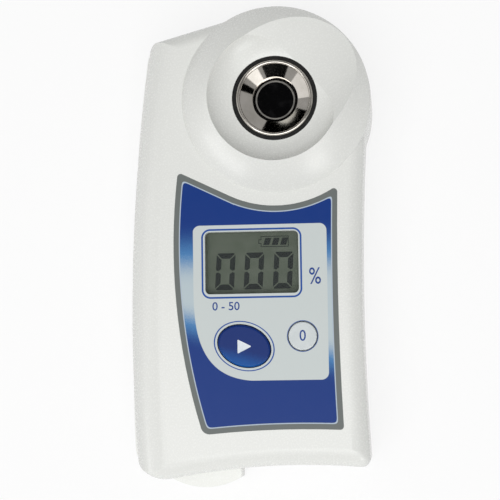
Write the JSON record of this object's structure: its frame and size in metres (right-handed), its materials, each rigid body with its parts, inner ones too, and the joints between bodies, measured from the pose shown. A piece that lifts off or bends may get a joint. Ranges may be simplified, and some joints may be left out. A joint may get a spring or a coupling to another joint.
{
  "type": "digital refractometer",
  "caption": "Pocket digital refractometer with a round head holding a steel sample dish over a prism, a display, two keys and a sliding battery cover.",
  "frame": {"origin": "middle of the flat back, under the centre of the instrument's bounding box", "axes": "+Z out of the front face, +Y along the grip towards the round head, +X to the reader's right"},
  "size_m": [0.0553, 0.1084, 0.031],
  "materials": {
    "white_shell": "white ABS, fine satin gloss",
    "dark_rubber": "black silicone",
    "printed_overlay": "reverse-printed polyester, blue, white and grey",
    "clear_window": "clear acrylic",
    "blue_key": "blue, smooth",
    "pale_key": "pale grey, smooth",
    "dome_steel": "thin spring steel",
    "display_glass": "display glass, olive grey",
    "reflector": "satin reflector foil",
    "inner_plastic": "natural nylon",
    "board_green": "green solder mask",
    "screw_steel": "stainless",
    "chip_black": "black epoxy",
    "component_tan": "chip ceramic",
    "polished_steel": "polished stainless steel",
    "prism_glass": "dark optical glass",
    "black_plastic": "black, glass filled",
    "clear_lens": "clear moulded lens",
    "cable_amber": "polyimide film",
    "cell_wrap": "plain wrap over steel can",
    "contact_plate": "nickel plated",
    "lead_red": "insulated lead",
    "label_silver": "plain foil label"
  },
  "bodies": {
    "instrument": {"front_housing": "white_shell", "rear_housing": "white_shell", "housing_seal": "dark_rubber", "stage_seal": "dark_rubber", "prism_seal": "dark_rubber", "front_panel": "printed_overlay", "display_window": "clear_window", "start_dome": "dome_steel", "zero_dome": "dome_steel", "lcd_glass": "display_glass", "lcd_reflector": "reflector", "lcd_contact_strips": "dark_rubber", "lcd_holder": "inner_plastic", "main_board": "board_green", "sensor_board": "board_green", "board_screws": "screw_steel", "stage_screws": "screw_steel", "optics_screws": "screw_steel", "housing_screws": "screw_steel", "microcontroller": "chip_black", "memory_chip": "chip_black", "crystal": "dome_steel", "small_components": "component_tan", "sample_stage": "polished_steel", "prism": "prism_glass", "optics_block": "black_plastic", "light_source": "clear_lens", "condenser_lens": "clear_lens", "imaging_lens": "clear_lens", "line_sensor": "chip_black", "temperature_sensor": "chip_black", "cable_connector": "inner_plastic", "flat_cable": "cable_amber", "battery_left": "cell_wrap", "battery_right": "cell_wrap", "contact_springs": "contact_plate", "bridge_contact": "contact_plate", "end_contacts": "contact_plate", "battery_leads": "lead_red", "rating_label": "label_silver"},
    "battery_cover": {"battery_cover": "white_shell"},
    "start_key": {"start_key": "blue_key"},
    "zero_key": {"zero_key": "pale_key"}
  },
  "joints": [
    {"name": "battery_cover_slide", "type": "slide", "parent": "instrument", "child": "battery_cover", "axis": [0, -1, 0], "range_m": [0, 0.05]},
    {"name": "start_press", "type": "slide", "parent": "instrument", "child": "start_key", "axis": [0, 0, -1], "range_m": [0, 0.0005], "stiffness_N_per_m": 400, "springref_m": -0.001, "deforming": ["start_dome"]},
    {"name": "zero_press", "type": "slide", "parent": "instrument", "child": "zero_key", "axis": [0, 0, -1], "range_m": [0, 0.0005], "stiffness_N_per_m": 400, "springref_m": -0.001, "deforming": ["zero_dome"]}
  ]
}
